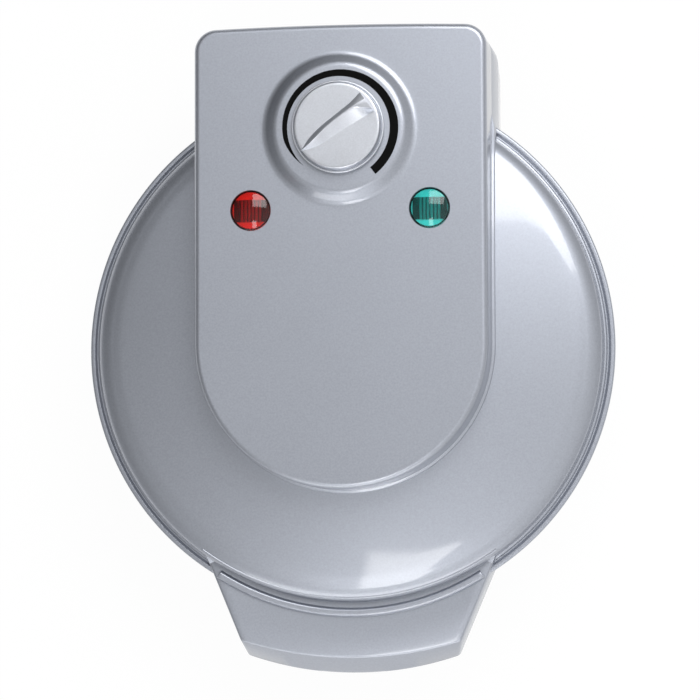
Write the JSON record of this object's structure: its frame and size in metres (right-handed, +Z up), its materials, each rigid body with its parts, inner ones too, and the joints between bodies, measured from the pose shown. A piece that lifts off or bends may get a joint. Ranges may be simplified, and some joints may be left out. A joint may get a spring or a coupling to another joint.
{
  "type": "donut maker",
  "caption": "Closed electric donut maker with a hinged round lid, twin ring-mould plates, a thermostat knob on a raised tower, indicator lamps and a front handle.",
  "frame": {"origin": "table plane below the middle of the round lid, which is also the middle of the bounding box's base", "axes": "+Z up, -Y towards the handle, +Y towards the hinge, +X to the right when the handle faces the user"},
  "size_m": [0.22, 0.27, 0.1096],
  "materials": {
    "silver_shell": "silver metallic lacquer on moulded plastic, satin gloss",
    "silver_knob": "bright silver lacquer, fine texture",
    "dark_plastic": "dark grey moulded plastic",
    "black_rubber": "black rubber",
    "coated_plate": "cast aluminium with dark non-stick coating",
    "heater_steel": "heat-tinted steel tube",
    "bright_sheet": "bright sheet metal",
    "zinc_steel": "zinc-plated steel",
    "brass_parts": "turned brass",
    "red_lens": "clear red lens",
    "green_lens": "clear green lens",
    "lamp_glass": "clear lamp glass",
    "white_insulator": "pale heat-resistant moulding",
    "fuse_can": "plain metal can",
    "wire_sleeve": "woven heat-resistant sleeve"
  },
  "bodies": {
    "base": {"base_shell": "silver_shell", "bottom_cover": "dark_plastic", "rubber_feet": "black_rubber", "lower_plate": "coated_plate", "lower_plate_screws": "zinc_steel", "lower_heater": "heater_steel", "lower_heater_clips": "bright_sheet", "lower_reflector": "bright_sheet", "base_handle_cover": "dark_plastic", "base_handle_cover_screws": "zinc_steel", "hinge_pins": "zinc_steel", "cord_gland": "black_rubber", "terminal_block": "white_insulator", "base_wires": "wire_sleeve"},
    "lid": {"green_lens": "green_lens", "lamp_holders": "dark_plastic", "lid_handle_cover": "dark_plastic", "lid_handle_cover_screws": "zinc_steel", "lid_shell": "silver_shell", "lid_wires": "wire_sleeve", "neon_lamps": "lamp_glass", "red_lens": "red_lens", "thermal_fuse": "fuse_can", "thermostat_body": "white_insulator", "thermostat_bracket": "zinc_steel", "thermostat_bush": "brass_parts", "thermostat_nut": "brass_parts", "tower_cover": "silver_shell", "tower_screws": "zinc_steel", "upper_heater": "heater_steel", "upper_heater_clips": "bright_sheet", "upper_plate": "coated_plate", "upper_plate_screws": "zinc_steel", "upper_reflector": "bright_sheet"},
    "knob": {"knob": "silver_knob", "knob_clip": "zinc_steel", "thermostat_shaft": "zinc_steel"}
  },
  "joints": [
    {"name": "lid_hinge", "type": "hinge", "parent": "base", "child": "lid", "pos_m": [0, 0.1306, 0.0503], "axis": [-1, 0, 0], "range_deg": [0, 100]},
    {"name": "knob_turn", "type": "hinge", "parent": "lid", "child": "knob", "pos_m": [0, 0.087, 0.1], "axis": [0, 0, -1], "range_deg": [0, 270]}
  ]
}
